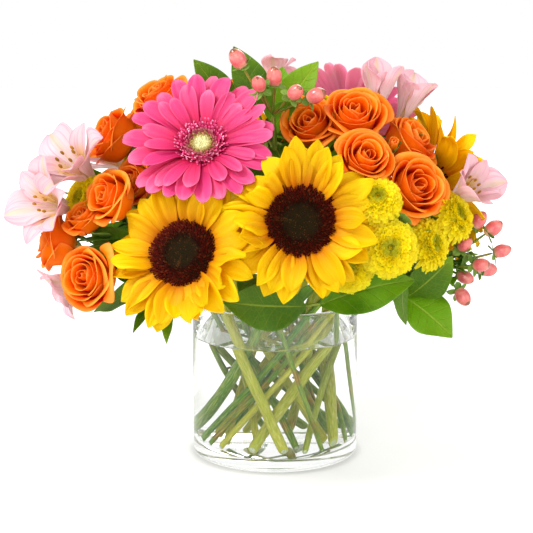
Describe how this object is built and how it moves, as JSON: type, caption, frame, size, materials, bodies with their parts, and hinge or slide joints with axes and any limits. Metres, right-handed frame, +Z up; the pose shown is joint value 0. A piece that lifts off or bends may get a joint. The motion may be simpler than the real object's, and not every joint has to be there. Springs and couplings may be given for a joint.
{
  "type": "cut flower arrangement in a glass vase",
  "caption": "Round arrangement of cut sunflowers, gerberas, spray roses, chrysanthemums, alstroemeria, berries and leaves standing in a clear glass cylinder of water.",
  "frame": {"origin": "centre of the round foot of the vase, on the surface that it stands on", "axes": "+Z up along the axis of the vase; -Y is the front of the arrangement, where the largest blooms face; +X is to the right of someone facing the front"},
  "size_m": [0.356, 0.2628, 0.3122],
  "materials": {
    "glass": "clear, colourless, polished",
    "water": "clear liquid",
    "green_stem": "fresh green stem, satin",
    "green_leaf": "waxy leaf",
    "sunflower_petal": "matt petal",
    "sunflower_disc": "rough florets",
    "gerbera_petal": "matt petal",
    "pale_gerbera_petal": "matt petal",
    "gerbera_disc": "rough florets",
    "rose_petal": "soft petal",
    "chrysanthemum_petal": "matt petal",
    "alstroemeria_petal": "soft petal",
    "hypericum_berry": "smooth berry"
  },
  "bodies": {
    "root": {"vase": "glass", "water": "water", "alstroemeria_back": "alstroemeria_petal", "alstroemeria_left": "alstroemeria_petal", "alstroemeria_right": "alstroemeria_petal", "alstroemeria_top": "alstroemeria_petal", "gerbera_back_disc": "gerbera_disc", "gerbera_back_petals": "pale_gerbera_petal", "gerbera_back_stem": "green_stem", "gerbera_front_disc": "gerbera_disc", "gerbera_front_petals": "gerbera_petal", "gerbera_front_stem": "green_stem", "hypericum_right": "hypericum_berry", "hypericum_top": "hypericum_berry", "leaves_back": "green_leaf", "leaves_corner": "green_leaf", "leaves_front": "green_leaf", "leaves_left": "green_leaf", "leaves_right": "green_leaf", "leaves_top": "green_leaf", "mum_back": "chrysanthemum_petal", "mum_left": "chrysanthemum_petal", "mum_right_1": "chrysanthemum_petal", "mum_right_2": "chrysanthemum_petal", "mum_right_3": "chrysanthemum_petal", "mum_right_4": "chrysanthemum_petal", "mum_right_5": "chrysanthemum_petal", "mum_right_stem": "green_stem", "mum_top": "chrysanthemum_petal", "rose_back": "rose_petal", "rose_left_1": "rose_petal", "rose_left_2": "rose_petal", "rose_left_3": "rose_petal", "rose_left_4": "rose_petal", "rose_left_stem": "green_stem", "rose_right_1": "rose_petal", "rose_right_2": "rose_petal", "rose_right_3": "rose_petal", "rose_right_4": "rose_petal", "rose_right_5": "rose_petal", "rose_right_stem": "green_stem", "rose_upper_1": "rose_petal", "rose_upper_2": "rose_petal", "rose_upper_3": "rose_petal", "rose_upper_4": "rose_petal", "rose_upper_stem": "green_stem", "sunflower_back_disc": "sunflower_disc", "sunflower_back_petals": "sunflower_petal", "sunflower_back_stem": "green_stem", "sunflower_centre_disc": "sunflower_disc", "sunflower_centre_petals": "sunflower_petal", "sunflower_centre_stem": "green_stem", "sunflower_left_disc": "sunflower_disc", "sunflower_left_petals": "sunflower_petal", "sunflower_left_stem": "green_stem", "sunflower_right_disc": "sunflower_disc", "sunflower_right_petals": "sunflower_petal", "sunflower_right_stem": "green_stem"}
  },
  "joints": []
}
